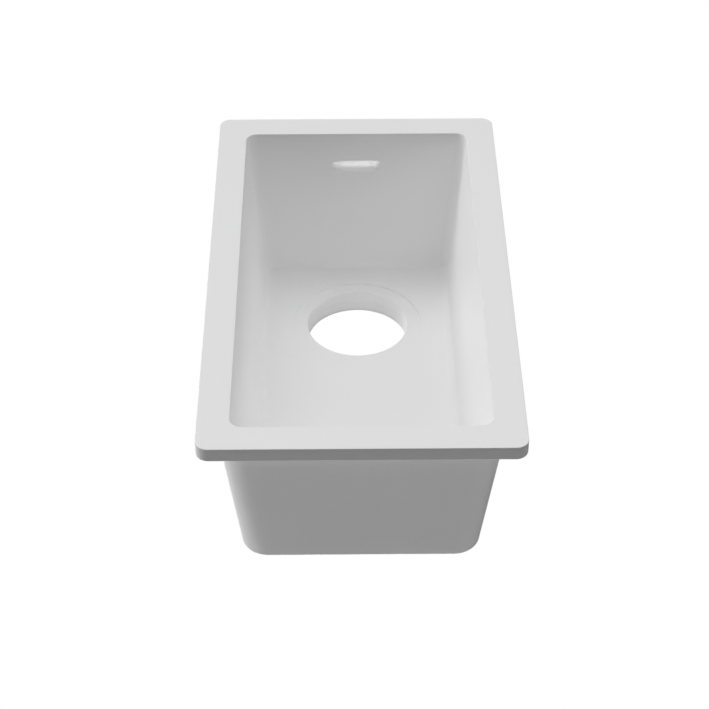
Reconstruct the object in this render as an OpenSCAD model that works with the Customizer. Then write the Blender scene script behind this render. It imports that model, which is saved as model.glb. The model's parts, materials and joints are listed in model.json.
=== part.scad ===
/* [Rim] */
// Width of the rim plate, left to right
rim_w = 250; // [240:1:300]
// Length of the rim plate, front to back
rim_l = 446; // [430:1:520]
// Width of the rim plate's border all round the bowl opening
rim_border = 25; // [20:1:35]
// Thickness of the rim plate
rim_t = 12; // [8:0.5:16]
// Corner radius of the rim plate in plan
rim_corner_r = 10; // [4:0.5:20]

/* [Bowl] */
// Depth of the bowl from the rim top to the floor
bowl_depth = 137; // [110:1:170]
// Lean of the left and right walls from upright, in degrees
side_lean = 6; // [1:0.5:8]
// Lean of the front and back walls from upright, in degrees
end_lean = 8; // [2:0.5:10]
// Thickness of the walls
wall_t = 12; // [10:0.5:14]
// Inside radius of the upright corners
corner_r = 10; // [6:0.5:16]
// Thickness of the floor panel
floor_t = 12; // [8:0.5:16]

/* [Waste] */
// Diameter of the waste hole
waste_d = 91; // [60:1:95]
// Distance of the waste hole behind the middle of the bowl
waste_back = 93.5; // [60:0.5:100]
// Diameter of the shallow seat round the waste hole
seat_d = 116; // [106:1:120]
// Depth of the shallow seat
seat_deep = 1; // [0.5:0.25:3]
// Outer diameter of the collar under the floor
collar_d = 140; // [125:1:150]
// Height of the collar under the floor
collar_h = 10; // [6:0.5:16]

/* [Overflow] */
// Width of the overflow slot
slot_w = 44; // [30:1:56]
// Height of the overflow slot
slot_h = 10; // [6:0.5:12]
// Depth of the slot's middle below the rim top
slot_down = 32.5; // [30:0.5:50]
// Width of the overflow housing between its screw ears
housing_w = 66; // [64:1:80]
// Height of the overflow housing along the wall
housing_h = 40; // [34:1:60]
// Height of the housing's top above the slot's middle
housing_up = 13; // [11:0.5:14]
// Depth of the overflow housing away from the wall
housing_deep = 30; // [28:1:40]
// Wall thickness of the overflow housing
housing_t = 2.5; // [1.5:0.25:3]
// Width of each screw ear
ear_w = 14; // [12:0.5:20]
// Thickness of the housing's mounting plate
ear_t = 4; // [3:0.5:6]
// Corner radius of the housing's mounting plate
ear_r = 5; // [2:0.5:8]
// Thickness of the seal between the housing and the wall
seal_t = 2; // [1:0.25:4]
// Outer diameter of the hose spigot
spigot_d = 21; // [19:0.5:23]
// Bore of the hose spigot
spigot_bore_d = 17; // [10:0.5:18]
// Length of the hose spigot
spigot_l = 22; // [12:1:40]

/* [Fixings] */
// Thread diameter of the housing screws
screw_d = 4; // [3:0.5:5]
// Head diameter of the housing screws
screw_head_d = 8; // [7.5:0.5:10]
// Head height of the housing screws
screw_head_h = 2.8; // [2:0.1:4]
// Width of the six-sided socket in a screw head
screw_socket_w = 3; // [2:0.5:4]
// Clearance round a screw in the plate and the seal
screw_gap = 0.25; // [0.1:0.05:0.5]
// Outer diameter of the threaded inserts in the back wall
insert_d = 6.5; // [6:0.25:8]
// Length of the threaded inserts
insert_l = 8; // [5:0.25:9]
// Thread left free past a screw's tip in its insert
screw_tip_gap = 1; // [0.5:0.25:2]

/* [Hidden] */
$fn = 96;
LEFT = -1;
RIGHT = 1;
FRONT = -1;
BACK = 1;
// How far a cutting solid runs past what it cuts
past = 5;
// Edge of the big cubes that stand for half of space
reach = 1200;
// How far a round corner runs into the flat faces beside it, so that they meet in a clear line
corner_lap = 0.01;
stone_colour = [0.87, 0.87, 0.87];
plastic_colour = [0.93, 0.93, 0.92];
rubber_colour = [0.16, 0.16, 0.17];
steel_colour = [0.72, 0.73, 0.75];
brass_colour = [0.78, 0.62, 0.32];

opening_w = rim_w - 2 * rim_border;
opening_l = rim_l - 2 * rim_border;
floor_z = -bowl_depth;
floor_under_z = floor_z - floor_t;
collar_under_z = floor_under_z - collar_h;
corner_outer_r = corner_r + wall_t;

// Outward normals of the walls, which face out and a little down
function side_normal(sx) = [sx * cos(side_lean), 0, -sin(side_lean)];
function end_normal(sy) = [0, sy * cos(end_lean), -sin(end_lean)];

// A point on each wall's inner face, at the rim top
function side_point(sx) = [sx * opening_w / 2, 0, 0];
function end_point(sy) = [0, sy * opening_l / 2, 0];

// The axis of an upright corner leans with both of its walls, a corner radius inside each
function corner_axis(sx, sy) = [sx * tan(side_lean), sy * tan(end_lean), 1];
function corner_centre(sx, sy) = [
    sx * (opening_w / 2 - corner_r / cos(side_lean)),
    sy * (opening_l / 2 - corner_r / cos(end_lean)),
    0];

// Normals of the joint planes that run from a corner's axis square into its two walls
function side_joint_normal(sx, sy) = sx * sy * cross(corner_axis(sx, sy), side_normal(sx));
function end_joint_normal(sx, sy) = sx * sy * cross(end_normal(sy), corner_axis(sx, sy));

// Where the slot's middle line leaves the back wall's outer face
slot_out_y = opening_l / 2 - slot_down * tan(end_lean) + wall_t / cos(end_lean);
plate_w = housing_w + 2 * ear_w;
plate_out = seal_t + ear_t;
cavity_w = housing_w - 2 * housing_t;
cavity_h = housing_h - 2 * housing_t;
housing_mid = housing_up - housing_h / 2;
housing_low = housing_up - housing_h;
spigot_out = (seal_t + housing_deep - housing_t) / 2;
screw_x = housing_w / 2 + ear_w / 2;
screw_l = plate_out + insert_l - screw_tip_gap;
screw_socket_deep = screw_head_h / 2;

// Turn the children so that their Z axis points along a direction
module point_along(dir) {
    rotate([0, acos(dir.z / norm(dir)), atan2(dir.y, dir.x)])
        children();
}

// A wide slab of given thickness that starts at a plane and grows along its normal
module slab(point, normal, thick) {
    translate(point)
        point_along(normal)
            translate([-reach / 2, -reach / 2, 0])
                cube([reach, reach, thick]);
}

// All of space on the side of a plane that the normal points to
module half_space(point, normal) {
    slab(point, normal, reach);
}

// All of space between two levels
module level_band(z_low, z_high) {
    slab([0, 0, z_low], [0, 0, 1], z_high - z_low);
}

// Cylinder round the leaning axis of one upright corner
module corner_cylinder(sx, sy, r) {
    translate(corner_centre(sx, sy))
        point_along(corner_axis(sx, sy))
            cylinder(r = r, h = reach / 2, center = true);
}

// All of space between the left and right walls, grown outwards from their inner faces
module between_sides(grow) {
    intersection_for (sx = [LEFT, RIGHT])
        half_space(side_point(sx) + grow * side_normal(sx), -side_normal(sx));
}

// All of space between the front and back walls, in the same way
module between_ends(grow) {
    intersection_for (sy = [FRONT, BACK])
        half_space(end_point(sy) + grow * end_normal(sy), -end_normal(sy));
}

// The bowl's tapered shape with round corners, grown outwards from the inner faces
module bowl_block(grow, z_low, z_high) {
    intersection() {
        union() {
            intersection() {
                between_sides(grow);
                between_ends(-corner_r);
            }
            intersection() {
                between_sides(-corner_r);
                between_ends(grow);
            }
            for (sx = [LEFT, RIGHT], sy = [FRONT, BACK])
                corner_cylinder(sx, sy, corner_r + grow + corner_lap);
        }
        level_band(z_low, z_high);
    }
}

// Upright plate with round corners in plan, from a level down
module rounded_plate(w, l, r, z_low, h) {
    translate([0, 0, z_low]) {
        translate([-w / 2 + r, -l / 2, 0])
            cube([w - 2 * r, l, h]);
        translate([-w / 2, -l / 2 + r, 0])
            cube([w, l - 2 * r, h]);
        for (sx = [-1, 1], sy = [-1, 1])
            translate([sx * (w / 2 - r), sy * (l / 2 - r), 0])
                cylinder(r = r, h = h);
    }
}

// Plate of one thickness with the bowl's opening cut through it
module rim_flange() {
    color(stone_colour)
        difference() {
            rounded_plate(rim_w, rim_l, rim_corner_r, -rim_t, rim_t);
            bowl_block(0, -rim_t - past, past);
        }
}

// Leaning panel on the left or right, between its two corner posts
module side_wall(sx) {
    intersection() {
        slab(side_point(sx), side_normal(sx), wall_t);
        intersection_for (sy = [FRONT, BACK])
            half_space(corner_centre(sx, sy), -side_joint_normal(sx, sy));
        level_band(floor_z, -rim_t);
    }
}

// Leaning panel at the front or back, between its two corner posts
module end_wall(sy) {
    intersection() {
        slab(end_point(sy), end_normal(sy), wall_t);
        intersection_for (sx = [LEFT, RIGHT])
            half_space(corner_centre(sx, sy), -end_joint_normal(sx, sy));
        level_band(floor_z, -rim_t);
    }
}

module front_wall() {
    color(stone_colour)
        end_wall(FRONT);
}

module left_wall() {
    color(stone_colour)
        side_wall(LEFT);
}

module right_wall() {
    color(stone_colour)
        side_wall(RIGHT);
}

// Slot with round ends that runs level from the bowl through the back wall
module overflow_slot() {
    flat_w = slot_w - slot_h;
    slot_in_y = slot_out_y - 2 * wall_t;
    translate([0, slot_in_y, -slot_down])
        rotate([-90, 0, 0]) {
            translate([-flat_w / 2, -slot_h / 2, 0])
                cube([flat_w, slot_h, 3 * wall_t]);
            for (sx = [LEFT, RIGHT])
                translate([sx * flat_w / 2, 0, 0])
                    cylinder(d = slot_h, h = 3 * wall_t);
        }
}

// Frame on the back wall's outer face at the slot: Y points out of the wall, Z up along it
module at_overflow() {
    translate([0, slot_out_y, -slot_down])
        rotate([-end_lean, 0, 0])
            children();
}

// The two screw places, with Z pointing out of the wall
module at_screws() {
    at_overflow()
        for (sx = [LEFT, RIGHT])
            translate([sx * screw_x, 0, housing_mid])
                rotate([-90, 0, 0])
                    children();
}

module back_wall() {
    color(stone_colour)
        difference() {
            end_wall(BACK);
            overflow_slot();
            at_screws()
                translate([0, 0, -insert_l])
                    cylinder(d = insert_d, h = insert_l + past);
        }
}

// Leaning post that closes an upright corner, round inside and outside
module corner_post(sx, sy) {
    intersection() {
        difference() {
            corner_cylinder(sx, sy, corner_outer_r);
            corner_cylinder(sx, sy, corner_r);
        }
        half_space(corner_centre(sx, sy), side_joint_normal(sx, sy));
        half_space(corner_centre(sx, sy), end_joint_normal(sx, sy));
        level_band(floor_z, -rim_t);
    }
}

module corner_front_left() {
    color(stone_colour)
        corner_post(LEFT, FRONT);
}

module corner_front_right() {
    color(stone_colour)
        corner_post(RIGHT, FRONT);
}

module corner_back_left() {
    color(stone_colour)
        corner_post(LEFT, BACK);
}

module corner_back_right() {
    color(stone_colour)
        corner_post(RIGHT, BACK);
}

// Flat floor that the walls stand on, with the waste hole and its seat
module floor_panel() {
    color(stone_colour)
        difference() {
            bowl_block(wall_t, floor_under_z, floor_z);
            translate([0, waste_back, floor_under_z - past])
                cylinder(d = waste_d, h = floor_t + 2 * past);
            translate([0, waste_back, floor_z - seat_deep])
                cylinder(d = seat_d, h = seat_deep + past);
        }
}

// Ring under the floor that thickens it round the waste hole
module waste_collar() {
    color(stone_colour)
        translate([0, waste_back, collar_under_z])
            difference() {
                cylinder(d = collar_d, h = collar_h);
                translate([0, 0, -past])
                    cylinder(d = waste_d, h = collar_h + 2 * past);
            }
}

// Plate with round corners in the overflow frame, standing out from the wall
module overflow_plate(out, thick) {
    translate([0, out, housing_mid])
        rotate([-90, 0, 0])
            rounded_plate(plate_w, housing_h, ear_r, 0, thick);
}

// Block of the overflow frame, centred left to right on the slot
module overflow_block(w, h, low, out_from, out_to) {
    translate([-w / 2, out_from, low])
        cube([w, out_to - out_from, h]);
}

module screw_holes() {
    at_screws()
        translate([0, 0, -past])
            cylinder(d = screw_d + 2 * screw_gap, h = plate_out + 2 * past);
}

// Open-backed chamber that catches the water from the slot and sends it down the spigot
module overflow_housing() {
    color(plastic_colour)
        difference() {
            at_overflow()
                difference() {
                    union() {
                        overflow_plate(seal_t, ear_t);
                        overflow_block(housing_w, housing_h, housing_low, seal_t, housing_deep);
                        translate([0, spigot_out, housing_low - spigot_l])
                            cylinder(d = spigot_d, h = spigot_l + housing_t);
                    }
                    overflow_block(cavity_w, cavity_h, housing_low + housing_t,
                        seal_t - past, housing_deep - housing_t);
                    translate([0, spigot_out, housing_low - spigot_l - past])
                        cylinder(d = spigot_bore_d, h = spigot_l + housing_t + 2 * past);
                }
            screw_holes();
        }
}

// Flat seal with the same outline as the housing's plate
module housing_seal() {
    color(rubber_colour)
        difference() {
            at_overflow()
                difference() {
                    overflow_plate(0, seal_t);
                    overflow_block(cavity_w, cavity_h, housing_low + housing_t, -past, seal_t + past);
                }
            screw_holes();
        }
}

module housing_screws() {
    color(steel_colour)
        at_screws()
            difference() {
                union() {
                    translate([0, 0, plate_out])
                        cylinder(d = screw_head_d, h = screw_head_h);
                    translate([0, 0, plate_out - screw_l])
                        cylinder(d = screw_d, h = screw_l);
                }
                translate([0, 0, plate_out + screw_head_h - screw_socket_deep])
                    cylinder(d = screw_socket_w, h = screw_socket_deep + past, $fn = 6);
            }
}

module screw_inserts() {
    color(brass_colour)
        at_screws()
            translate([0, 0, -insert_l])
                difference() {
                    cylinder(d = insert_d, h = insert_l);
                    translate([0, 0, -past])
                        cylinder(d = screw_d, h = insert_l + 2 * past);
                }
}

rim_flange();
front_wall();
back_wall();
left_wall();
right_wall();
corner_front_left();
corner_front_right();
corner_back_left();
corner_back_right();
floor_panel();
waste_collar();
overflow_housing();
housing_seal();
housing_screws();
screw_inserts();
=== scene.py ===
"""Looks of a narrow solid surface sink bowl: its finished pieces, their materials and the studio."""

import json
import math

import bmesh
import bpy
from bpy.props import FloatProperty, FloatVectorProperty, IntProperty, PointerProperty
from mathutils import Matrix, Vector


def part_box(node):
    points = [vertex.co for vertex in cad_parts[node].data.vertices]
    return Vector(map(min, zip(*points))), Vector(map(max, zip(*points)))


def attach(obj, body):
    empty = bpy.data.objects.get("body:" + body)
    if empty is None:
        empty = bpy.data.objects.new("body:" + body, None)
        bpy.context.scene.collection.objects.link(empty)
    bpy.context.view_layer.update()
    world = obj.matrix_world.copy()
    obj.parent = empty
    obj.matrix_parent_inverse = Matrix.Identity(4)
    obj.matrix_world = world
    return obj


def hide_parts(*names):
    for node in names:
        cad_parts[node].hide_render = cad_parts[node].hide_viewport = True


bl_info = {
    "name": "Solid surface sink bowl",
    "version": (1, 0, 0),
    "blender": (4, 5, 0),
    "location": "View3D > Sidebar > Sink",
    "description": "Finishes the pieces of a solid surface sink bowl and sets up its studio",
    "category": "Add Mesh",
}

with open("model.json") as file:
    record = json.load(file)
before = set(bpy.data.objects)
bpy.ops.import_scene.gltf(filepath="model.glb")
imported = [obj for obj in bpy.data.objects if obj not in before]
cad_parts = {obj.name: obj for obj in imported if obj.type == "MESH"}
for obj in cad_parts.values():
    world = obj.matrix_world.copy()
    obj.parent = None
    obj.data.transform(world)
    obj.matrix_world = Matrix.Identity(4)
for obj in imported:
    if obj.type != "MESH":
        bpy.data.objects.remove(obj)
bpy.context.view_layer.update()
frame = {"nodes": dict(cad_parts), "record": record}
mounts = {mount["name"]: mount for mount in frame["record"]["mounts"]}

LEFT, RIGHT, FRONT, BACK = -1, 1, -1, 1
# The bowl's corners, anticlockwise from the back right
CORNERS = ((RIGHT, BACK), (LEFT, BACK), (LEFT, FRONT), (RIGHT, FRONT))
MM = 0.001
# Edges that turn by less than this are shaded as one smooth surface
SMOOTH_TURN = math.radians(35)
# Faces that turn by less than this are one flat face
FLAT_TURN = math.radians(0.1)
# Two vertices closer than this are one
WELD = 1e-6
# An edge shorter than this is a step of a curve
SHORT_EDGE = 2 * MM
# The slot's edges lie within half this width and half this height of its middle
SLOT_ZONE_WIDE, SLOT_ZONE_HIGH = 60 * MM, 12 * MM
# The edges of the housing's chamber are further out than this from its plate
PAST_PLATE = 1 * MM


# Small helpers for settings

def length(name, mm, description):
    """A size that a user may change, with its default in millimetres."""
    return FloatProperty(name=name, description=description, default=mm * MM, unit="LENGTH")


def angle(name, degrees, description):
    return FloatProperty(
        name=name, description=description, default=math.radians(degrees), subtype="ANGLE")


def finish_colour(name, shade, description):
    return FloatVectorProperty(
        name=name, description=description, default=shade, size=3, subtype="COLOR")


def brightness(name, strength, description):
    return FloatProperty(name=name, description=description, default=strength, min=0)


class SinkSizes(bpy.types.PropertyGroup):
    """Sizes of the bowl that its pieces share"""

    rim_border: length("Rim border", 25, "Width of the rim plate round the opening")
    rim_corner: length("Rim corner", 10, "Corner radius of the rim plate in plan")
    side_lean: angle("Side lean", 6, "Lean of the left and right walls from upright")
    end_lean: angle("End lean", 8, "Lean of the front and back walls from upright")
    wall: length("Wall", 12, "Thickness of the walls")
    corner: length("Corner", 10, "Inside radius of the upright corners")
    cove: length("Cove", 7, "Inside radius between the walls and the floor")
    arris: length("Arris", 0.5, "Radius of the sanded edges of the rim and the slot")
    base_round: length("Base round", 1.5, "Radius of the outer edge under the bowl")
    corner_steps: IntProperty(
        name="Corner steps", description="Facets across each round corner", default=24, min=4)


class WasteSizes(bpy.types.PropertyGroup):
    """Sizes of the waste hole, its seat and its collar"""

    seat: length("Seat", 116, "Diameter of the shallow seat round the hole")
    seat_deep: length("Seat depth", 1, "Depth of the shallow seat")
    seat_edge: length("Seat edge", 0.3, "Radius of the seat's upper edge")
    hole_edge: length("Hole edge", 0.6, "Radius of the hole's upper edge")
    collar_edge: length("Collar edge", 1, "Radius of the edges under the collar")
    ring_steps: IntProperty(
        name="Ring steps", description="Facets round the hole and the collar", default=128, min=16)


class OverflowSizes(bpy.types.PropertyGroup):
    """Sizes of the overflow housing and its fixings"""

    slot_down: length("Slot depth", 32.5, "Depth of the slot's middle below the rim")
    moulded_edge: length("Moulded edge", 3, "Radius of the edges of the housing's chamber")
    seal_edge: length("Seal edge", 0.3, "Radius of the seal's edges")
    plate_out: length("Plate face", 6, "Distance of the housing plate's outer face from the wall")
    screw_head: length("Screw head", 8, "Diameter of a screw head")
    screw_head_high: length("Screw head height", 2.8, "Height of a screw head")
    screw_socket: length("Screw socket", 3, "Width across the corners of the socket in a screw head")
    screw: length("Screw", 4, "Outer diameter of the screw thread")
    screw_long: length("Screw length", 13, "Length of a screw under its head")
    screw_pitch: length("Screw pitch", 0.7, "Pitch of the screw thread")
    thread_deep: length("Thread depth", 0.4, "Depth of the screw thread")
    screw_apart: length("Screw spacing", 80, "Distance between the two screws")
    screw_drop: length("Screw drop", 7, "Distance of the screws below the slot, down the wall")
    insert: length("Insert", 6.5, "Outer diameter of a threaded insert")
    insert_long: length("Insert length", 8, "Length of a threaded insert")
    knurl_deep: length("Knurl depth", 0.25, "Depth of the knurling on an insert")
    spigot: length("Spigot", 21, "Outer diameter of the hose spigot")
    spigot_end: length("Spigot end", 49, "Distance of the spigot's open end below the slot")
    ridge_proud: length("Ridge", 0.6, "How far a hose ridge stands out from the spigot")
    ridge_high: length("Ridge height", 3, "Height of a hose ridge along the spigot")
    ridge_step: length("Ridge spacing", 4.5, "Distance from one hose ridge to the next")
    ridges: IntProperty(
        name="Ridges", description="Number of hose ridges on the spigot", default=3, min=1)


class FinishColours(bpy.types.PropertyGroup):
    """Colours of the finishes"""

    stone: finish_colour("Solid surface", (0.985, 0.985, 0.985), "Colour of the cast sheet")
    plastic: finish_colour("Plastic", (0.9, 0.9, 0.9), "Colour of the moulded housing")
    rubber: finish_colour("Rubber", (0.03, 0.03, 0.032), "Colour of the seal")
    steel: finish_colour("Steel", (0.62, 0.62, 0.63), "Colour of the screws")
    brass: finish_colour("Brass", (0.72, 0.53, 0.24), "Colour of the threaded inserts")
    paper: finish_colour("Studio floor", (1.0, 1.0, 1.0), "Colour of the floor and the surroundings")


class StudioSizes(bpy.types.PropertyGroup):
    """Place of the camera and size of the studio"""

    camera_place: FloatVectorProperty(
        name="Camera place", description="Where the camera stands",
        default=(-15.46 * MM, -1247.03 * MM, 957.02 * MM), size=3, subtype="XYZ")
    camera_down: angle("Camera tilt", 40.194, "Angle of the view below level")
    camera_right: angle("Camera turn", 0.545, "Angle of the view to the right of the bowl's length")
    camera_lens: FloatProperty(
        name="Camera lens", description="Focal length on a frame 36 mm wide",
        default=95.68)
    hole_glow: brightness("Hole glow", 0.24, "Brightness of the light that comes up the waste hole")
    slot_glow: brightness("Slot glow", 1.7, "Brightness of the light in the chamber behind the slot")
    slot_floor_glow: brightness(
        "Slot floor glow", 1.3, "Brightness of the light on the far end of the slot's floor")
    floor_across: FloatProperty(
        name="Floor", description="Width of the studio floor",
        default=12.0, unit="LENGTH")


def sizes():
    return bpy.context.scene.sink_sizes


# Small helpers for node trees

def add_node(tree, kind, inputs=(), **settings):
    """A node with its settings, and its inputs either linked or set."""
    node = tree.nodes.new(kind)
    for name, value in settings.items():
        setattr(node, name, value)
    for key, value in dict(inputs).items():
        if isinstance(value, bpy.types.NodeSocket):
            tree.links.new(value, node.inputs[key])
        else:
            node.inputs[key].default_value = value
    return node


def result(tree, kind, inputs=(), **settings):
    """The first output of a new node."""
    return add_node(tree, kind, inputs, **settings).outputs[0]


def maths(tree, operation, *values):
    return result(tree, "ShaderNodeMath", enumerate(values), operation=operation)


def half(tree, value):
    return maths(tree, "MULTIPLY", value, 0.5)


def vectors(tree, operation, *values):
    node = add_node(tree, "ShaderNodeVectorMath", enumerate(values), operation=operation)
    return node.outputs["Value" if operation == "DOT_PRODUCT" else "Vector"]


def times(tree, vector, factor):
    return result(tree, "ShaderNodeVectorMath", {"Vector": vector, "Scale": factor}, operation="SCALE")


def xyz(tree, **values):
    """A vector with the parts that are given."""
    return result(tree, "ShaderNodeCombineXYZ", values)


def parts(tree, vector):
    """The X, Y and Z of a vector."""
    return add_node(tree, "ShaderNodeSeparateXYZ", {"Vector": vector}).outputs


def here(tree):
    """Place of each point that a node works on."""
    return result(tree, "GeometryNodeInputPosition")


def new_geometry_tree(name, inputs):
    """An empty Geometry Nodes tree with named inputs, and the sockets that they give."""
    kinds = {float: "NodeSocketFloat", int: "NodeSocketInt", Vector: "NodeSocketVector"}
    tree = bpy.data.node_groups.new(name, "GeometryNodeTree")
    tree.interface.new_socket("Geometry", in_out="OUTPUT", socket_type="NodeSocketGeometry")
    tree.interface.new_socket("Geometry", in_out="INPUT", socket_type="NodeSocketGeometry")
    for key, value in inputs.items():
        kind = kinds.get(type(value), "NodeSocketMaterial")
        tree.interface.new_socket(key, in_out="INPUT", socket_type=kind)
    given = tree.nodes.new("NodeGroupInput").outputs
    return tree, given


def end_tree(tree, geometry, material):
    """Ends a tree: real geometry with its material."""
    real = result(tree, "GeometryNodeRealizeInstances", {"Geometry": geometry})
    painted = result(tree, "GeometryNodeSetMaterial", {"Geometry": real, "Material": material})
    add_node(tree, "NodeGroupOutput", {"Geometry": painted})
    return tree


def cylinder(tree, radius, depth, around, along=1):
    """A closed cylinder about the origin's Z axis."""
    return result(tree, "GeometryNodeMeshCylinder", {
        "Vertices": around, "Side Segments": along, "Radius": radius, "Depth": depth})


def swept_round(tree, section, radius, steps):
    """A closed section, swept round the origin's Z axis."""
    path = result(tree, "GeometryNodeCurvePrimitiveCircle", {"Resolution": steps, "Radius": radius})
    return result(tree, "GeometryNodeCurveToMesh", {"Curve": path, "Profile Curve": section})


def moved(tree, geometry, **inputs):
    """Geometry with its points at a new Position, or moved by an Offset."""
    return result(tree, "GeometryNodeSetPosition", {"Geometry": geometry, **inputs})


def raised(tree, geometry, height):
    return moved(tree, geometry, Offset=xyz(tree, Z=height))


def polar(tree):
    """Radius, turn and height of the points that a node works on."""
    x, y, z = parts(tree, here(tree))
    squares = maths(tree, "ADD", maths(tree, "MULTIPLY", x, x), maths(tree, "MULTIPLY", y, y))
    return maths(tree, "SQRT", squares), maths(tree, "ARCTAN2", y, x), z


def turned(tree, geometry, radius, turn, height, chosen=True):
    """Moves points to new polar places."""
    place = xyz(tree, X=maths(tree, "MULTIPLY", radius, maths(tree, "COSINE", turn)),
                Y=maths(tree, "MULTIPLY", radius, maths(tree, "SINE", turn)), Z=height)
    return moved(tree, geometry, Position=place, Selection=chosen)


def joined(tree, operation, first, second):
    """Two closed shapes made one, or the second cut out of the first."""
    node = add_node(tree, "GeometryNodeMeshBoolean", operation=operation, solver="EXACT")
    tree.links.new(first, node.inputs["Mesh 2" if operation == "UNION" else "Mesh 1"])
    tree.links.new(second, node.inputs["Mesh 2"])
    return node.outputs["Mesh"]


def in_a_row(tree, shape, count, start, step):
    """Copies of a shape, set out from a start by a step."""
    row = result(tree, "GeometryNodeMeshLine",
                 {"Count": count, "Start Location": start, "Offset": step}, mode="OFFSET")
    return result(tree, "GeometryNodeInstanceOnPoints", {"Points": row, "Instance": shape})


def end_in_a_row(tree, shape, given):
    """Ends a tree with copies of a shape, in a row about the middle."""
    first = times(tree, given["Spacing"], maths(tree, "MULTIPLY_ADD", given["Count"], -0.5, 0.5))
    row = in_a_row(tree, shape, given["Count"], first, given["Spacing"])
    return end_tree(tree, row, given["Material"])


def grown_solid(name, tree, inputs, place=Matrix(), start=None):
    """The closed mesh that a Geometry Nodes tree gives, put in its place, from a start mesh if given."""
    seed = show(name + "_seed", start or bpy.data.meshes.new(name + "_seed"))
    modifier = seed.modifiers.new(name, "NODES")
    modifier.node_group = tree
    for item in tree.interface.items_tree:
        if item.in_out == "INPUT" and item.name in inputs:
            modifier[item.identifier] = inputs[item.name]
    depsgraph = bpy.context.evaluated_depsgraph_get()
    mesh = bpy.data.meshes.new_from_object(seed.evaluated_get(depsgraph), depsgraph=depsgraph)
    seed.modifiers.clear()
    bpy.data.objects.remove(seed)
    mesh.transform(place)
    return close_solid(merged(mesh), mesh)


# Small helpers for meshes

def show(name, data):
    """A new object in the scene."""
    shown = bpy.data.objects.new(name, data)
    bpy.context.scene.collection.objects.link(shown)
    return shown


def add_piece(name, mesh, node, slot, has_eased_edges=True):
    """Shows a mesh in place of a CAD node, on the bowl's own body and in its slot's finish."""
    mesh.materials.clear()
    mesh.materials.append(shared_material(slot))
    mesh.shade_smooth()
    mesh.set_sharp_from_angle(angle=SMOOTH_TURN)
    piece = show(name, mesh)
    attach(piece, "root")
    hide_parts(node)
    if has_eased_edges:
        # Keeps large flat faces flat in the shading, next to their small round edges
        piece.modifiers.new("flat_faces", "WEIGHTED_NORMAL").keep_sharp = True


def add_ring(bm, points):
    return [bm.verts.new(point) for point in points]


def loft(bm, rings, closed=False):
    """Joins rings of equally many vertices by bands of quads."""
    pairs = list(zip(rings, rings[1:]))
    if closed:
        pairs.append((rings[-1], rings[0]))
    for lower, upper in pairs:
        count = len(lower)
        for i in range(count):
            j = (i + 1) % count
            bm.faces.new((lower[i], lower[j], upper[j], upper[i]))


def fill_between(bm, *rings):
    """A flat face with holes, between an outer ring and the rings inside it."""
    edges = []
    for ring in rings:
        for start, end in zip(ring, ring[1:] + ring[:1]):
            edges.append(bm.edges.get((start, end)))
    bmesh.ops.triangle_fill(bm, use_beauty=True, edges=edges)


def merged(mesh):
    """A mesh opened for changes, with its doubles merged."""
    bm = bmesh.new()
    bm.from_mesh(mesh)
    bmesh.ops.remove_doubles(bm, verts=bm.verts, dist=WELD)
    return bm


def close_solid(bm, mesh):
    """Writes a closed shape to a mesh, with its faces turned outwards."""
    bmesh.ops.recalc_face_normals(bm, faces=bm.faces)
    if bm.calc_volume(signed=True) < 0:
        bmesh.ops.reverse_faces(bm, faces=bm.faces)
    bm.to_mesh(mesh)
    bm.free()
    return mesh


def quarter_round(radius, steps=3):
    """Steps round the quarter circle that eases an edge: what is left of each of the two faces."""
    turns = [math.pi / 2 * i / steps for i in range(steps + 1)]
    return [(radius * (1 - math.sin(turn)), radius * (1 - math.cos(turn))) for turn in turns]


# The bowl's leaning shape

def opening_half():
    """Half the width and half the length of the opening at the rim's top."""
    low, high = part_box("rim_flange")
    border = sizes().rim_border
    return (high.x - low.x) / 2 - border, (high.y - low.y) / 2 - border


def corner_frame(side, end):
    """Centre at the rim's top, axis, and the two wall normals of an upright corner."""
    s = sizes()
    half_wide, half_long = opening_half()
    centre = Vector((side * (half_wide - s.corner / math.cos(s.side_lean)),
                     end * (half_long - s.corner / math.cos(s.end_lean)), 0))
    axis = Vector((side * math.tan(s.side_lean), end * math.tan(s.end_lean), 1))
    side_normal = Vector((side * math.cos(s.side_lean), 0, -math.sin(s.side_lean)))
    end_normal = Vector((0, end * math.cos(s.end_lean), -math.sin(s.end_lean)))
    return centre, axis, side_normal, end_normal


def bowl_spokes():
    """Corner centre, corner axis and wall normal of each step round the bowl's corners."""
    steps = sizes().corner_steps
    for side, end in CORNERS:
        centre, axis, start, stop = corner_frame(side, end)
        if side != end:
            start, stop = stop, start
        for i in range(steps + 1):
            yield centre, axis, start.slerp(stop, i / steps)


def wall_point(centre, axis, normal, grow, level):
    """Point at a level, so far out from the bowl's inside."""
    spoke = (sizes().corner + grow) * normal
    return centre + spoke + (level - spoke.z) * axis


def bowl_ring(grow, level):
    """Outline of the bowl's inside at a level, grown outwards."""
    return [wall_point(*spoke, grow, level) for spoke in bowl_spokes()]


def cove_ring(share, level):
    """Outline of the hollow round edge over the floor, from its foot at 0 to its top on the walls at 1."""
    radius = sizes().cove
    ring = []
    for centre, axis, normal in bowl_spokes():
        lean = math.asin(-normal.z)
        turn = (1 - share) * (math.pi / 2 - lean)
        away, rise = 1 - math.cos(turn), 1 - math.sin(lean + turn)
        ring.append(wall_point(centre, axis, normal, -radius * away, level + radius * rise))
    return ring


def plate_ring(inset, level):
    """Outline of the rim plate, drawn in by an inset, in step with the bowl's rings."""
    s = sizes()
    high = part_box("rim_flange")[1]
    ring = []
    for quarter, (side, end) in enumerate(CORNERS):
        for i in range(s.corner_steps + 1):
            turn = math.pi / 2 * (quarter + i / s.corner_steps)
            radius = s.rim_corner - inset
            ring.append((side * (high.x - s.rim_corner) + radius * math.cos(turn),
                         end * (high.y - s.rim_corner) + radius * math.sin(turn), level))
    return ring


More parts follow.
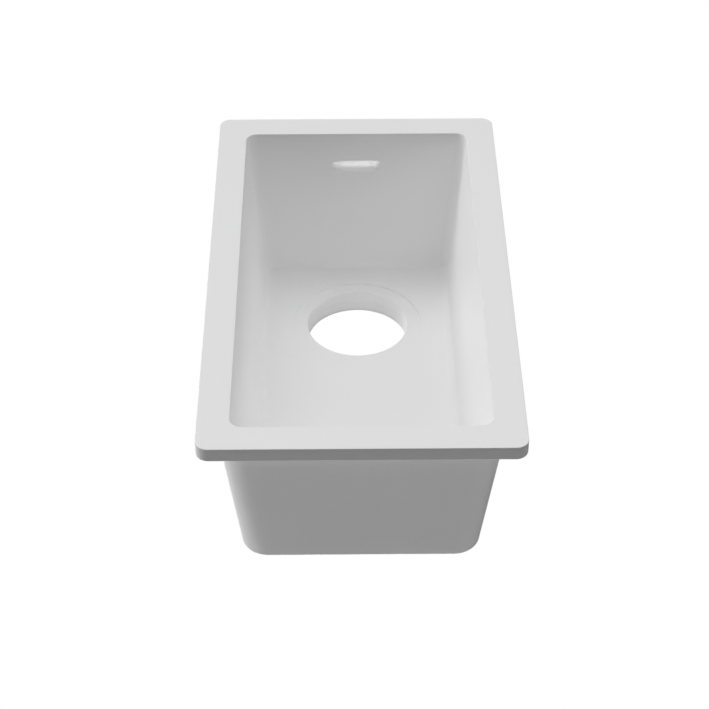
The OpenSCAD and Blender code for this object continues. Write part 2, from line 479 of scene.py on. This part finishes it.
def waste_ring(radius, level):
    """Circle round the waste hole's axis."""
    middle = Vector(mounts["waste_hole"]["pos_m"])
    steps = bpy.context.scene.waste_sizes.ring_steps
    return [(middle.x + radius * math.cos(2 * math.pi * i / steps),
             middle.y + radius * math.sin(2 * math.pi * i / steps), level) for i in range(steps)]


def waste_radius():
    return mounts["waste_hole"]["dims"]["r_mm"] * MM


def overflow_frame():
    """Matrix of the slot's place on the back wall's outer face: Z along the wall, Y out of it."""
    s = sizes()
    down = bpy.context.scene.overflow_sizes.slot_down
    out = opening_half()[1] - down * math.tan(s.end_lean) + s.wall / math.cos(s.end_lean)
    return Matrix.Translation((0, out, -down)) @ Matrix.Rotation(-s.end_lean, 4, "X")


def screw_frame():
    """Matrix of the point on the wall between the two screws, with Z out of the wall."""
    drop = bpy.context.scene.overflow_sizes.screw_drop
    return overflow_frame() @ Matrix.Translation((0, 0, -drop)) @ Matrix.Rotation(-math.pi / 2, 4, "X")


# Materials

# The colour sockets of a Mix node, which share their names with its other sockets
MIX_FIRST, MIX_SECOND, MIX_RESULT = 6, 7, 2


def new_material(slot, colour, roughness, **scalars):
    """A slot's finish with one Principled shader, whose plain numbers are set on its own sockets."""
    material = bpy.data.materials.new(slot + "_finish")
    material.use_nodes = True
    shader = material.node_tree.nodes["Principled BSDF"]
    shader.inputs["Base Color"].default_value = (*colour, 1)
    shader.inputs["Roughness"].default_value = roughness
    for key, value in scalars.items():
        shader.inputs[key.replace("_", " ")].default_value = value
    return material, material.node_tree, shader


def object_noise(tree, scale, detail=2.0, stretch=(1, 1, 1)):
    """Noise on Object coordinates, so many grains to the metre."""
    place = add_node(tree, "ShaderNodeTexCoord").outputs["Object"]
    mapped = add_node(tree, "ShaderNodeMapping", {"Vector": place, "Scale": stretch})
    noise = add_node(tree, "ShaderNodeTexNoise",
                     {"Vector": mapped.outputs["Vector"], "Scale": scale, "Detail": detail})
    return noise.outputs["Fac"]


def vary(tree, factor, low, high):
    """Maps a factor that runs from 0.3 to 0.7, as noise does, to a range."""
    node = add_node(tree, "ShaderNodeMapRange",
                    {"Value": factor, "From Min": 0.3, "From Max": 0.7, "To Min": low, "To Max": high})
    return node.outputs["Result"]


def tint(tree, shader, factor, colour, darker):
    """Varies the base colour between a darker shade and the colour itself."""
    mix = add_node(tree, "ShaderNodeMix", data_type="RGBA")
    tree.links.new(factor, mix.inputs["Factor"])
    mix.inputs[MIX_FIRST].default_value = (*(channel * darker for channel in colour), 1)
    mix.inputs[MIX_SECOND].default_value = (*colour, 1)
    tree.links.new(mix.outputs[MIX_RESULT], shader.inputs["Base Color"])


def bump(tree, shader, height, strength, distance):
    normal = result(tree, "ShaderNodeBump", {"Height": height, "Strength": strength, "Distance": distance})
    tree.links.new(normal, shader.inputs["Normal"])


def stone_material():
    """Cast mineral sheet: matt sanded white with a fine filler grain."""
    colour = bpy.context.scene.finish_colours.stone
    material, tree, shader = new_material("solid_surface", colour, 0.55, Specular_IOR_Level=0.3)
    grain = object_noise(tree, scale=1400, detail=3)
    cloud = object_noise(tree, scale=18)
    tint(tree, shader, vary(tree, grain, low=0, high=1), colour, darker=0.985)
    tree.links.new(vary(tree, cloud, low=0.52, high=0.58), shader.inputs["Roughness"])
    bump(tree, shader, grain, strength=0.08, distance=0.05 * MM)
    return material


def plastic_material():
    """Satin moulded plastic with a fine spark-eroded grain."""
    colour = bpy.context.scene.finish_colours.plastic
    material, tree, shader = new_material("white_plastic", colour, 0.4)
    texture = object_noise(tree, scale=2200)
    cloud = object_noise(tree, scale=60)
    tint(tree, shader, vary(tree, cloud, low=0, high=1), colour, darker=0.97)
    tree.links.new(vary(tree, texture, low=0.34, high=0.46), shader.inputs["Roughness"])
    bump(tree, shader, texture, strength=0.15, distance=0.04 * MM)
    return material


def rubber_material():
    """Matt black sealing rubber."""
    colour = bpy.context.scene.finish_colours.rubber
    material, tree, shader = new_material("seal_rubber", colour, 0.8, Specular_IOR_Level=0.35)
    grain = object_noise(tree, scale=1800, detail=4)
    tint(tree, shader, vary(tree, grain, low=0, high=1), colour, darker=0.7)
    tree.links.new(vary(tree, grain, low=0.72, high=0.86), shader.inputs["Roughness"])
    bump(tree, shader, grain, strength=0.3, distance=0.05 * MM)
    return material


def metal_material(slot, colour, roughness, darker):
    """Turned metal, with fine marks drawn out across the wall's normal."""
    material, tree, shader = new_material(slot, colour, roughness, Metallic=1.0)
    marks = object_noise(tree, scale=900, detail=3, stretch=(1, 6, 1))
    tint(tree, shader, vary(tree, marks, low=0, high=1), colour, darker)
    tree.links.new(vary(tree, marks, roughness - 0.06, roughness + 0.1), shader.inputs["Roughness"])
    bump(tree, shader, marks, strength=0.1, distance=0.03 * MM)
    return material


def shared_material(slot):
    """The finish of a slot, made the first time that a piece asks for it."""
    colours = bpy.context.scene.finish_colours
    makers = {
        "solid_surface": stone_material,
        "white_plastic": plastic_material,
        "seal_rubber": rubber_material,
        "stainless_steel": lambda: metal_material(slot, colours.steel, roughness=0.3, darker=0.85),
        "brass": lambda: metal_material(slot, colours.brass, roughness=0.35, darker=0.75),
    }
    return bpy.data.materials.get(slot + "_finish") or makers[slot]()


# Pieces

def make_rim():
    """Rim plate, lofted from its outer edge over the top into the opening."""
    s = sizes()
    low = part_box("rim_flange")[0]
    bm = bmesh.new()
    rings = [plate_ring(inset, low.z + rise) for inset, rise in quarter_round(s.arris)]
    rings += [plate_ring(inset, -drop) for drop, inset in quarter_round(s.arris)]
    rings += [bowl_ring(grow, -drop) for grow, drop in quarter_round(s.arris)]
    rings.append(bowl_ring(0, low.z))
    loft(bm, [add_ring(bm, ring) for ring in rings], closed=True)
    return close_solid(bm, bpy.data.meshes.new("rim_plate"))


def make_floor():
    """Floor panel with its seat and hole, its cove inside the walls, and a rounded edge underneath."""
    s = sizes()
    waste = bpy.context.scene.waste_sizes
    low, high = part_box("floor_panel")
    bm = bmesh.new()
    edge = [cove_ring(i / s.corner_steps, high.z) for i in range(s.corner_steps + 1)]
    edge += [bowl_ring(0, high.z), bowl_ring(s.wall, high.z)]
    edge += [bowl_ring(s.wall - inset, low.z + rise) for rise, inset in quarter_round(s.base_round)]
    seat_level = high.z - waste.seat_deep
    seat, hole = waste.seat / 2, waste_radius()
    well = [waste_ring(seat + out, high.z - drop) for out, drop in quarter_round(waste.seat_edge)]
    well.append(waste_ring(seat, seat_level))
    well += [waste_ring(hole + out, seat_level - drop) for out, drop in quarter_round(waste.hole_edge)]
    well.append(waste_ring(hole, low.z))
    edge = [add_ring(bm, ring) for ring in edge]
    well = [add_ring(bm, ring) for ring in well]
    loft(bm, edge)
    loft(bm, well)
    fill_between(bm, edge[0], well[0])
    fill_between(bm, edge[-1], well[-1])
    return close_solid(bm, bpy.data.meshes.new("floor_panel"))


def corner_post_tree():
    """A grid of a cube bent round a leaning axis, from one wall's normal to the other's."""
    inputs = {"Centre": Vector(), "Axis": Vector(), "Side normal": Vector(), "End normal": Vector(),
              "Inner radius": 0.0, "Wall": 0.0, "Top": 0.0, "Bottom": 0.0, "Steps": 1, "Material": None}
    tree, given = new_geometry_tree("corner_post", inputs)
    along = maths(tree, "ADD", given["Steps"], 1.0)
    cube = result(tree, "GeometryNodeMeshCube", {
        "Size": (1, 1, 1), "Vertices X": along, "Vertices Y": 2, "Vertices Z": 2})
    share = parts(tree, vectors(tree, "ADD", here(tree), (0.5, 0.5, 0.5)))
    lap = vectors(tree, "DOT_PRODUCT", given["Side normal"], given["End normal"])
    square = vectors(tree, "SUBTRACT", given["End normal"], times(tree, given["Side normal"], lap))
    square = vectors(tree, "NORMALIZE", square)
    turn = maths(tree, "MULTIPLY", maths(tree, "ARCCOSINE", lap), share["X"])
    spoke = vectors(tree, "ADD", times(tree, given["Side normal"], maths(tree, "COSINE", turn)),
                    times(tree, square, maths(tree, "SINE", turn)))
    radius = maths(tree, "MULTIPLY_ADD", share["Y"], given["Wall"], given["Inner radius"])
    spoke = times(tree, spoke, radius)
    rise = maths(tree, "SUBTRACT", given["Top"], given["Bottom"])
    level = maths(tree, "MULTIPLY_ADD", share["Z"], rise, given["Bottom"])
    climb = times(tree, given["Axis"], maths(tree, "SUBTRACT", level, parts(tree, spoke)["Z"]))
    bent = vectors(tree, "ADD", vectors(tree, "ADD", given["Centre"], spoke), climb)
    return end_tree(tree, moved(tree, cube, Position=bent), given["Material"])


def make_corner_post(tree, side, end):
    s = sizes()
    centre, axis, side_normal, end_normal = corner_frame(side, end)
    inputs = {"Centre": centre, "Axis": axis, "Side normal": side_normal, "End normal": end_normal,
              "Inner radius": s.corner, "Wall": s.wall, "Top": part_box("rim_flange")[0].z,
              "Bottom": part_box("floor_panel")[1].z, "Steps": s.corner_steps,
              "Material": shared_material("solid_surface")}
    return grown_solid("corner_post", tree, inputs)


def collar_tree():
    """A rectangle with two rounded corners, swept round the waste hole."""
    inputs = {"Inner radius": 0.0, "Outer radius": 0.0, "Height": 0.0, "Edge": 0.0, "Steps": 1,
              "Place": Vector(), "Material": None}
    tree, given = new_geometry_tree("waste_collar", inputs)
    wide = maths(tree, "SUBTRACT", given["Outer radius"], given["Inner radius"])
    middle = maths(tree, "MULTIPLY_ADD", wide, 0.5, given["Inner radius"])
    section = result(tree, "GeometryNodeCurvePrimitiveQuadrilateral", {
        "Width": wide, "Height": given["Height"]})
    lower = maths(tree, "LESS_THAN", parts(tree, here(tree))["Y"], 0.0)
    edge = maths(tree, "MULTIPLY", lower, given["Edge"])
    section = result(tree, "GeometryNodeFilletCurve",
                     {"Curve": section, "Radius": edge, "Count": 4}, mode="POLY")
    ring = swept_round(tree, section, middle, given["Steps"])
    placed = result(tree, "GeometryNodeTransform", {"Geometry": ring, "Translation": given["Place"]})
    return end_tree(tree, placed, given["Material"])


def make_collar():
    low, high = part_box("waste_collar")
    waste = bpy.context.scene.waste_sizes
    inputs = {"Inner radius": waste_radius(), "Outer radius": (high.x - low.x) / 2,
              "Height": high.z - low.z, "Edge": waste.collar_edge, "Steps": waste.ring_steps,
              "Place": (low + high) / 2, "Material": shared_material("solid_surface")}
    return grown_solid("waste_collar", collar_tree(), inputs)


def eased_copy(node, radius, is_eased, steps=4):
    """A merged copy of a CAD node's mesh, with some of its sharp edges rounded."""
    bm = merged(frame["nodes"][node].data)
    bmesh.ops.dissolve_limit(bm, angle_limit=FLAT_TURN, verts=bm.verts, edges=bm.edges)
    edges = [edge for edge in bm.edges
             if edge.is_manifold and edge.calc_face_angle() > SMOOTH_TURN and is_eased(edge)]
    bmesh.ops.bevel(bm, geom=edges, offset=radius, offset_type="OFFSET", segments=steps,
                    profile=0.5, affect="EDGES", clamp_overlap=False)
    return close_solid(bm, bpy.data.meshes.new(node))


def middle_of(edge, frame_matrix):
    """Middle of an edge, as a frame sees it."""
    return frame_matrix @ ((edge.verts[0].co + edge.verts[1].co) / 2)


def make_back_wall():
    """Back wall with the mouths of its slot eased."""
    s = sizes()
    to_slot = overflow_frame().inverted()

    def at_mouth(edge):
        middle = middle_of(edge, to_slot)
        off_face = max(abs(middle.y), abs(middle.y + s.wall)) - s.wall
        in_zone = abs(middle.x) < SLOT_ZONE_WIDE / 2 and abs(middle.z) < SLOT_ZONE_HIGH / 2
        return abs(off_face) < s.arris and in_zone
    return eased_copy("back_wall", s.arris, at_mouth)


def ridge_tree():
    """Adds a row of hose ridges to a spigot that points down."""
    inputs = {"Radius": 0.0, "Proud": 0.0, "Bite": 0.0, "Height": 0.0, "Count": 3, "Start": Vector(),
              "Step": 0.0, "Steps": 64, "Material": None}
    tree, given = new_geometry_tree("hose_ridges", inputs)
    inner, top = maths(tree, "MULTIPLY", given["Bite"], -1.0), given["Height"]
    corners = ((inner, 0.0), (given["Proud"], top), (inner, top), (inner, half(tree, top)))
    points = {f"Point {i}": xyz(tree, X=out, Y=up) for i, (out, up) in enumerate(corners, 1)}
    section = result(tree, "GeometryNodeCurvePrimitiveQuadrilateral", points, mode="POINTS")
    ring = swept_round(tree, section, given["Radius"], given["Steps"])
    row = in_a_row(tree, ring, given["Count"], given["Start"], xyz(tree, Z=given["Step"]))
    return end_tree(tree, joined(tree, "UNION", given["Geometry"], row), given["Material"])


def make_housing():
    """Moulded overflow housing with soft edges, except round its open back, and with a ridged spigot."""
    to_wall = overflow_frame().inverted()
    overflow = bpy.context.scene.overflow_sizes

    def on_chamber(edge):
        past_plate = middle_of(edge, to_wall).y > overflow.plate_out + PAST_PLATE
        return past_plate and edge.is_convex and edge.calc_length() > SHORT_EDGE
    housing = eased_copy("overflow_housing", overflow.moulded_edge, on_chamber)
    housing.transform(to_wall)
    spigot = to_wall @ Vector(mounts["overflow_spigot"]["pos_m"])
    inputs = {"Radius": overflow.spigot / 2, "Proud": overflow.ridge_proud, "Bite": overflow.ridge_proud,
              "Height": overflow.ridge_high, "Count": overflow.ridges,
              "Start": Vector((0, spigot.y, overflow.ridge_step / 2 - overflow.spigot_end)),
              "Step": overflow.ridge_step,
              "Steps": bpy.context.scene.waste_sizes.ring_steps,
              "Material": shared_material("white_plastic")}
    return grown_solid("overflow_housing", ridge_tree(), inputs, overflow_frame(), housing)


def make_seal():
    """Flat seal with its cut edges eased."""
    def is_long(edge):
        return edge.calc_length() > SHORT_EDGE
    return eased_copy("housing_seal", bpy.context.scene.overflow_sizes.seal_edge, is_long, steps=2)


def screw_tree():
    """Screws in a row, each with a domed head, a six-sided socket and a cut thread."""
    inputs = {"Head": 0.0, "Head height": 0.0, "Rim share": 0.0, "Socket": 0.0, "Thread": 0.0,
              "Thread depth": 0.0, "Length": 0.0, "Pitch": 0.0, "Head level": 0.0, "Spacing": Vector(),
              "Count": 2, "Material": None}
    tree, given = new_geometry_tree("housing_screws", inputs)
    half_head = half(tree, given["Head height"])
    head_radius = half(tree, given["Head"])
    blank = result(tree, "GeometryNodeMeshCylinder", {
        "Vertices": 48, "Fill Segments": 8, "Radius": head_radius, "Depth": given["Head height"]},
        fill_type="TRIANGLE_FAN")
    blank = raised(tree, blank, half_head)
    radius, turn, height = polar(tree)
    share = maths(tree, "DIVIDE", radius, head_radius)
    lost = maths(tree, "SUBTRACT", 1.0, maths(tree, "MULTIPLY", given["Rim share"], given["Rim share"]))
    fall = maths(tree, "MULTIPLY", lost, maths(tree, "MULTIPLY", share, share))
    dome = maths(tree, "SQRT", maths(tree, "SUBTRACT", 1.0, fall))
    dome = maths(tree, "MULTIPLY", dome, given["Head height"])
    head = turned(tree, blank, radius, turn, dome, maths(tree, "GREATER_THAN", height, half_head))

    cuts_to_a_turn = 6.0
    bite = half(tree, half_head)
    shank_long = maths(tree, "ADD", given["Length"], bite)
    shank_radius = half(tree, given["Thread"])
    cuts = maths(tree, "MULTIPLY", maths(tree, "DIVIDE", shank_long, given["Pitch"]), cuts_to_a_turn)
    shank = cylinder(tree, shank_radius, shank_long, around=24, along=cuts)
    shank = raised(tree, shank, maths(tree, "SUBTRACT", bite, half(tree, shank_long)))
    radius, turn, height = polar(tree)
    laps = maths(tree, "SUBTRACT", maths(tree, "DIVIDE", height, given["Pitch"]),
                 maths(tree, "DIVIDE", turn, math.tau))
    cut = maths(tree, "MULTIPLY", maths(tree, "PINGPONG", laps, 0.5), 2.0)
    cut_radius = maths(tree, "SUBTRACT", shank_radius, maths(tree, "MULTIPLY", cut, given["Thread depth"]))
    above_tip = maths(tree, "ADD", height, given["Length"])
    point = maths(tree, "ADD", above_tip, maths(tree, "SUBTRACT", shank_radius, given["Pitch"]))
    shank = turned(tree, shank, maths(tree, "MINIMUM", cut_radius, point), turn, height,
                   maths(tree, "GREATER_THAN", radius, half(tree, shank_radius)))

    socket = cylinder(tree, half(tree, given["Socket"]), given["Head height"], around=6)
    socket = raised(tree, socket, given["Head height"])
    screw = joined(tree, "DIFFERENCE", joined(tree, "UNION", head, shank), socket)
    return end_in_a_row(tree, raised(tree, screw, given["Head level"]), given)


def make_screws():
    overflow = bpy.context.scene.overflow_sizes
    inputs = {"Head": overflow.screw_head, "Head height": overflow.screw_head_high, "Rim share": 0.35,
              "Socket": overflow.screw_socket, "Thread": overflow.screw,
              "Thread depth": overflow.thread_deep, "Length": overflow.screw_long,
              "Pitch": overflow.screw_pitch, "Head level": overflow.plate_out,
              "Spacing": Vector((overflow.screw_apart, 0, 0)), "Count": 2,
              "Material": shared_material("stainless_steel")}
    return grown_solid("housing_screws", screw_tree(), inputs, screw_frame())


def insert_tree():
    """Threaded inserts in a row, knurled outside, with a plain band round the middle."""
    inputs = {"Diameter": 0.0, "Bore": 0.0, "Length": 0.0, "Knurl depth": 0.0, "Knurls": 12, "Band": 0.0,
              "Spacing": Vector(), "Count": 2, "Material": None}
    tree, given = new_geometry_tree("screw_inserts", inputs)
    facets_to_a_knurl = 4.0
    outer = half(tree, given["Diameter"])
    around = maths(tree, "MULTIPLY", given["Knurls"], facets_to_a_knurl)
    body = cylinder(tree, outer, given["Length"], around, along=16)
    radius, turn, height = polar(tree)
    slant = maths(tree, "DIVIDE", height, outer)
    ways = [maths(tree, "SINE", maths(tree, "MULTIPLY", maths(tree, way, turn, slant), given["Knurls"]))
            for way in ("ADD", "SUBTRACT")]
    cut = maths(tree, "ABSOLUTE", maths(tree, "MULTIPLY", *ways))
    in_band = maths(tree, "LESS_THAN", maths(tree, "ABSOLUTE", height), half(tree, given["Band"]))
    cut = maths(tree, "MULTIPLY", maths(tree, "MAXIMUM", cut, in_band), given["Knurl depth"])
    body = turned(tree, body, maths(tree, "SUBTRACT", radius, cut), turn, height)
    bore = cylinder(tree, half(tree, given["Bore"]), maths(tree, "MULTIPLY", given["Length"], 2.0), around)
    insert = joined(tree, "DIFFERENCE", body, bore)
    return end_in_a_row(tree, raised(tree, insert, maths(tree, "MULTIPLY", given["Length"], -0.5)), given)


def make_inserts():
    overflow = bpy.context.scene.overflow_sizes
    inputs = {"Diameter": overflow.insert, "Bore": overflow.screw, "Length": overflow.insert_long,
              "Knurl depth": overflow.knurl_deep, "Knurls": 12, "Band": overflow.insert_long / 4,
              "Spacing": Vector((overflow.screw_apart, 0, 0)), "Count": 2,
              "Material": shared_material("brass")}
    return grown_solid("screw_inserts", insert_tree(), inputs, screw_frame())


# Operators

class SINK_OT_rim(bpy.types.Operator):
    """Make the rim plate"""

    bl_idname = "sink.rim"
    bl_label = "Rim plate"

    def execute(self, context):
        add_piece("rim_plate", make_rim(), "rim_flange", "solid_surface")
        return {"FINISHED"}


class SINK_OT_walls(bpy.types.Operator):
    """Finish the front and side walls, and make the back wall with its slot"""

    bl_idname = "sink.walls"
    bl_label = "Walls"

    def execute(self, context):
        for node in ("front_wall", "left_wall", "right_wall"):
            finishes = frame["nodes"][node].data.materials
            finishes.clear()
            finishes.append(shared_material("solid_surface"))
        add_piece("back_wall_slotted", make_back_wall(), "back_wall", "solid_surface")
        return {"FINISHED"}


class SINK_OT_corner_posts(bpy.types.Operator):
    """Make the four corner posts"""

    bl_idname = "sink.corner_posts"
    bl_label = "Corner posts"

    def execute(self, context):
        tree = corner_post_tree()
        for end, end_name in ((FRONT, "front"), (BACK, "back")):
            for side, side_name in ((LEFT, "left"), (RIGHT, "right")):
                place = f"{end_name}_{side_name}"
                add_piece("post_" + place, make_corner_post(tree, side, end), "corner_" + place,
                          "solid_surface", has_eased_edges=False)
        return {"FINISHED"}


class SINK_OT_floor(bpy.types.Operator):
    """Make the floor panel"""

    bl_idname = "sink.floor"
    bl_label = "Floor panel"

    def execute(self, context):
        add_piece("bowl_floor", make_floor(), "floor_panel", "solid_surface")
        return {"FINISHED"}


class SINK_OT_collar(bpy.types.Operator):
    """Make the collar under the waste hole"""

    bl_idname = "sink.collar"
    bl_label = "Waste collar"

    def execute(self, context):
        add_piece("collar_ring", make_collar(), "waste_collar", "solid_surface")
        return {"FINISHED"}


class SINK_OT_housing(bpy.types.Operator):
    """Make the overflow housing"""

    bl_idname = "sink.housing"
    bl_label = "Overflow housing"

    def execute(self, context):
        add_piece("housing_moulded", make_housing(), "overflow_housing", "white_plastic")
        return {"FINISHED"}


class SINK_OT_seal(bpy.types.Operator):
    """Make the seal between the housing and the wall"""

    bl_idname = "sink.seal"
    bl_label = "Housing seal"

    def execute(self, context):
        add_piece("seal_flat", make_seal(), "housing_seal", "seal_rubber")
        return {"FINISHED"}


class SINK_OT_fixings(bpy.types.Operator):
    """Make the two screws and their threaded inserts"""

    bl_idname = "sink.fixings"
    bl_label = "Screws and inserts"

    def execute(self, context):
        add_piece("screws_domed", make_screws(), "housing_screws", "stainless_steel",
                  has_eased_edges=False)
        add_piece("inserts_knurled", make_inserts(), "screw_inserts", "brass", has_eased_edges=False)
        return {"FINISHED"}


class SINK_OT_studio(bpy.types.Operator):
    """Set up the pale floor, the soft light and the camera"""

    bl_idname = "sink.studio"
    bl_label = "Studio"

    def execute(self, context):
        make_camera()
        make_floor_paper()
        make_lights()
        make_glows()
        return {"FINISHED"}


# Studio

# Width of the camera's frame in mm, and how far it sees in metres
FRAME_WIDE, SEEN_FAR = 36, 100
# Soft lights round the bowl: turn from the front, height and angle across in degrees, and strength
SOFT_LIGHTS = {
    "above_back": (180, 70, 50, 0.19),
    "front": (0, 45, 50, 0.07),
    "right": (90, 45, 50, 0.17),
    "back_right": (135, 45, 50, 0.08),
    "back_left_high": (210, 58, 25, 0.11),
    "left": (270, 45, 50, 0.19),
    "left_middle": (255, 30, 25, 0.18),
    "left_low": (255, 10, 25, 0.13),
    "back_left_under": (225, -25, 50, 0.31),
    "front_left_under": (315, -60, 50, 0.11),
    "under": (0, -90, 60, 0.7),
}
# Lights behind the slot, as its frame sees them: middle in mm, tilt in degrees, height in mm and
# spread in degrees
SLOT_LIGHTS = {
    "glow_chamber": ((6, 18, 9), 0, 18, 110),
    "glow_slot_floor": ((4, 3, 8.5), -15, 4, 120),
}
SLOT_LIGHT_WIDE = 54 * MM
# Gap round and under the light in the waste hole
HOLE_LIGHT_GAP = 1 * MM


def make_camera():
    """Camera at the photograph's place and angle."""
    studio = bpy.context.scene.studio_sizes
    down, right = studio.camera_down, studio.camera_right
    ahead = Vector((math.sin(right) * math.cos(down), math.cos(right) * math.cos(down), -math.sin(down)))
    across = Vector((math.cos(right), -math.sin(right), 0))
    upward = across.cross(ahead)
    data = bpy.data.cameras.new("camera")
    data.sensor_width = FRAME_WIDE
    data.lens = studio.camera_lens
    data.clip_end = SEEN_FAR
    camera = show("camera", data)
    camera.matrix_world = Matrix((across, upward, -ahead)).transposed().to_4x4()
    camera.location = studio.camera_place
    bpy.context.scene.camera = camera


def make_floor_paper():
    """White floor that the collar stands on, bright enough to hold no shadow."""
    colour = (*bpy.context.scene.finish_colours.paper, 1)
    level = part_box("waste_collar")[0].z
    reach = bpy.context.scene.studio_sizes.floor_across / 2
    mesh = bpy.data.meshes.new("studio_floor")
    corners = [(side * reach, end * reach, level) for side, end in CORNERS]
    mesh.from_pydata(corners, [], [(0, 1, 2, 3)])
    material = bpy.data.materials.new("studio_floor")
    material.use_nodes = True
    tree = material.node_tree
    tree.nodes.clear()
    glow = add_node(tree, "ShaderNodeEmission", {"Color": colour, "Strength": 1.0})
    add_node(tree, "ShaderNodeOutputMaterial", {"Surface": glow.outputs["Emission"]})
    mesh.materials.append(material)
    floor = show("studio_floor", mesh)
    floor.visible_diffuse = False
    floor.visible_glossy = False
    floor.visible_shadow = False


def add_glow(name, shape, wide, high, place, strength, spread=math.pi):
    """Small soft light with a given brightness, which the camera doesn't see."""
    data = bpy.data.lights.new(name, "AREA")
    data.shape = shape
    data.size = wide
    data.size_y = high
    area = wide * high * (1 if shape == "RECTANGLE" else math.pi / 4)
    data.energy = math.pi * area * strength
    data.spread = spread
    light = show(name, data)
    light.matrix_world = place
    light.visible_camera = False


def make_glows():
    """Light that the white floor sends up through the waste hole, and that comes in behind the slot."""
    studio = bpy.context.scene.studio_sizes
    middle = Vector(mounts["waste_hole"]["pos_m"])
    middle.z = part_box("waste_collar")[0].z + HOLE_LIGHT_GAP
    upwards = Matrix.Translation(middle) @ Matrix.Rotation(math.pi, 4, "X")
    across = 2 * (waste_radius() - HOLE_LIGHT_GAP)
    add_glow("glow_hole", "DISK", across, across, upwards, studio.hole_glow)
    strengths = (studio.slot_glow, studio.slot_floor_glow)
    for (name, (place, tilt, high, spread)), strength in zip(SLOT_LIGHTS.items(), strengths):
        behind = overflow_frame() @ Matrix.Translation(Vector(place) * MM)
        tilted = behind @ Matrix.Rotation(math.radians(tilt), 4, "X")
        add_glow(name, "RECTANGLE", SLOT_LIGHT_WIDE, high * MM, tilted, strength, math.radians(spread))


def make_lights():
    """Wide soft lights, and white surroundings that only the camera sees."""
    for name, (turn, height, across, strength) in SOFT_LIGHTS.items():
        turn, height = math.radians(turn), math.radians(height)
        level = math.cos(height)
        towards = Vector((math.sin(turn) * level, -math.cos(turn) * level, math.sin(height)))
        data = bpy.data.lights.new("light_" + name, "SUN")
        data.energy = math.pi * strength
        data.angle = math.radians(across)
        light = show("light_" + name, data)
        light.rotation_euler = towards.to_track_quat("Z", "Y").to_euler()
    world = bpy.data.worlds.new("studio")
    bpy.context.scene.world = world
    world.use_nodes = True
    tree = world.node_tree
    seen = add_node(tree, "ShaderNodeLightPath").outputs["Is Camera Ray"]
    background = tree.nodes["Background"]
    background.inputs["Color"].default_value = (*bpy.context.scene.finish_colours.paper, 1)
    tree.links.new(seen, background.inputs["Strength"])
    bpy.context.scene.view_settings.view_transform = "Standard"


class SINK_PT_panel(bpy.types.Panel):
    """Lists the pieces of the sink and the studio"""

    bl_idname = "SINK_PT_panel"
    bl_label = "Sink bowl"
    bl_space_type = "VIEW_3D"
    bl_region_type = "UI"
    bl_category = "Sink"

    def draw(self, context):
        for operator in OPERATORS:
            self.layout.operator(operator.bl_idname)


GROUPS = {
    "sink_sizes": SinkSizes,
    "waste_sizes": WasteSizes,
    "overflow_sizes": OverflowSizes,
    "finish_colours": FinishColours,
    "studio_sizes": StudioSizes,
}
OPERATORS = (
    SINK_OT_studio,
    SINK_OT_rim,
    SINK_OT_walls,
    SINK_OT_corner_posts,
    SINK_OT_floor,
    SINK_OT_collar,
    SINK_OT_housing,
    SINK_OT_seal,
    SINK_OT_fixings,
)


def register():
    for group in GROUPS.values():
        bpy.utils.register_class(group)
    for name, group in GROUPS.items():
        setattr(bpy.types.Scene, name, PointerProperty(type=group))
    for operator in OPERATORS:
        bpy.utils.register_class(operator)
    bpy.utils.register_class(SINK_PT_panel)


def unregister():
    bpy.utils.unregister_class(SINK_PT_panel)
    for operator in reversed(OPERATORS):
        bpy.utils.unregister_class(operator)
    for name, group in GROUPS.items():
        delattr(bpy.types.Scene, name)
        bpy.utils.unregister_class(group)


def main():
    register()
    for operator in OPERATORS:
        getattr(bpy.ops.sink, operator.bl_idname.split(".")[1])()


if __name__ == "__main__":
    main()
